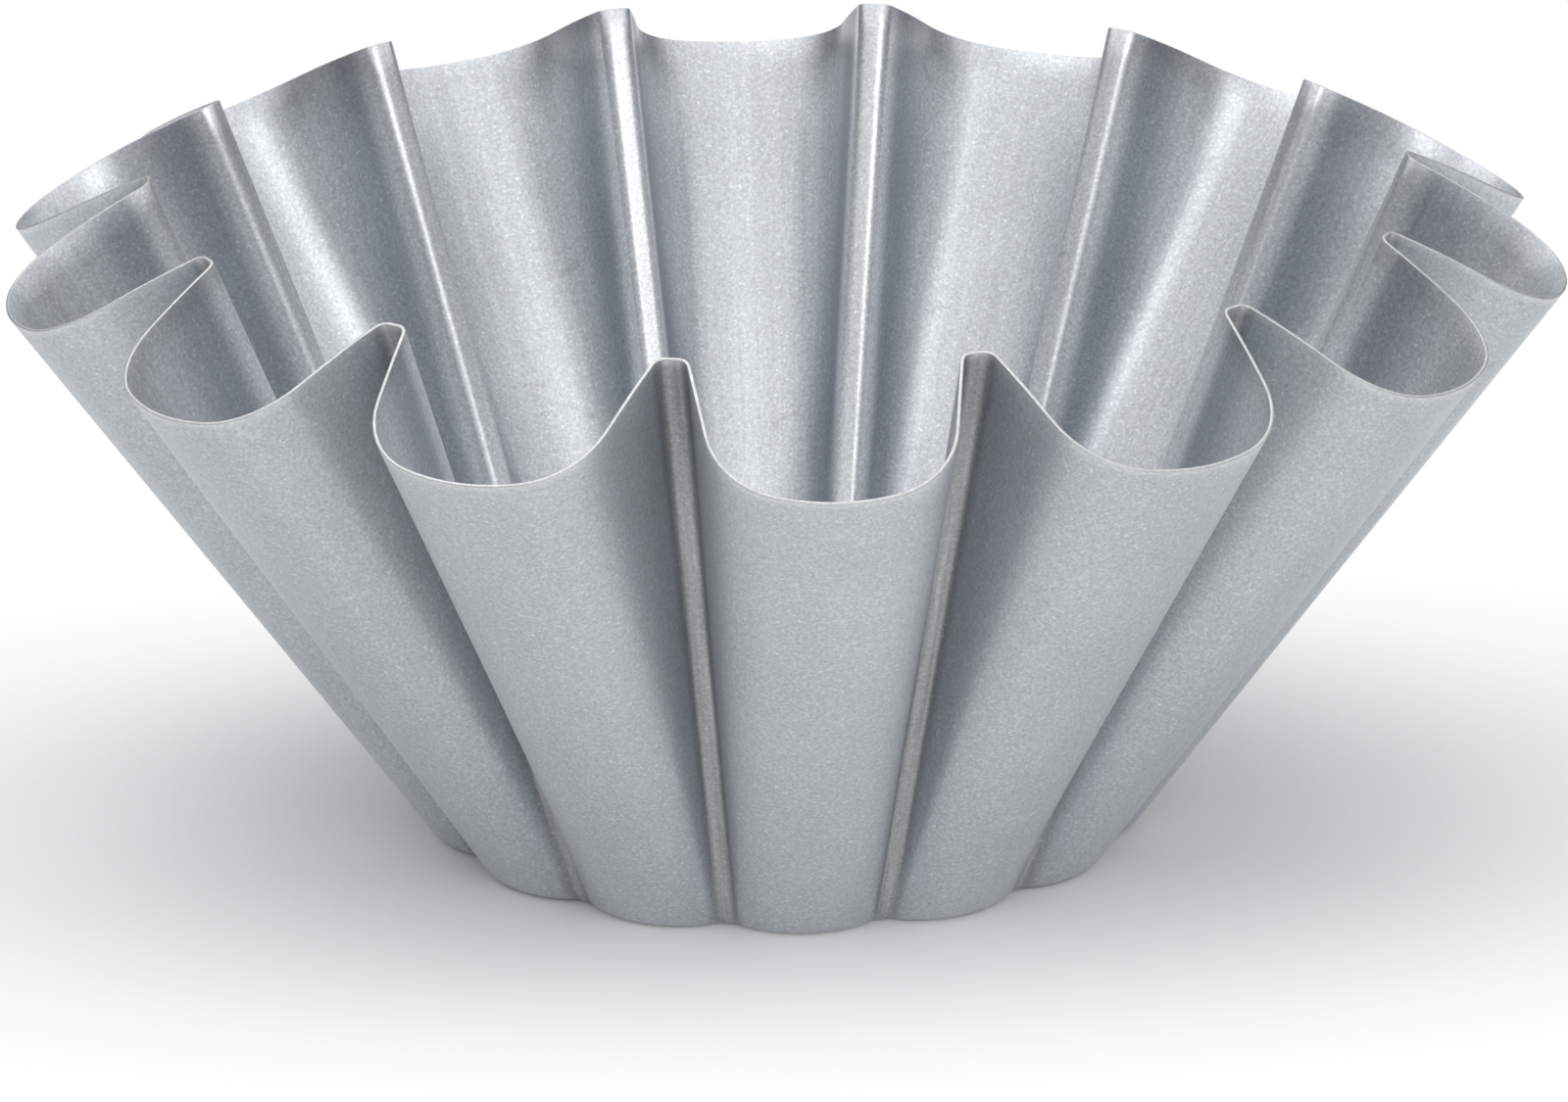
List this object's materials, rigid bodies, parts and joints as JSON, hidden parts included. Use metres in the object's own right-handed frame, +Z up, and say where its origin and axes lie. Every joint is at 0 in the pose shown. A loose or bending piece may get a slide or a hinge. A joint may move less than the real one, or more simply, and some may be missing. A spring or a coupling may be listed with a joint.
{
  "type": "brioche mould",
  "caption": "Fluted brioche mould pressed from one thin sheet, with flaring walls, narrow inward ribs, a wavy cut rim and a flat scalloped floor.",
  "frame": {"origin": "centre of the floor's underside, on the mould's axis", "axes": "+Z up along the mould's axis, -Y through the middle of the front flute"},
  "size_m": [0.2158, 0.22, 0.0956],
  "materials": {
    "coated_steel": "satin silver-grey coating with a fine speckle on pressed steel sheet, bare metal at the cut rim"
  },
  "bodies": {
    "root": {"base_panel": "coated_steel", "flute_1": "coated_steel", "flute_2": "coated_steel", "flute_3": "coated_steel", "flute_4": "coated_steel", "flute_5": "coated_steel", "flute_6": "coated_steel", "flute_7": "coated_steel", "flute_8": "coated_steel", "flute_9": "coated_steel", "flute_10": "coated_steel", "flute_11": "coated_steel", "flute_12": "coated_steel", "flute_13": "coated_steel", "flute_14": "coated_steel"}
  },
  "joints": []
}
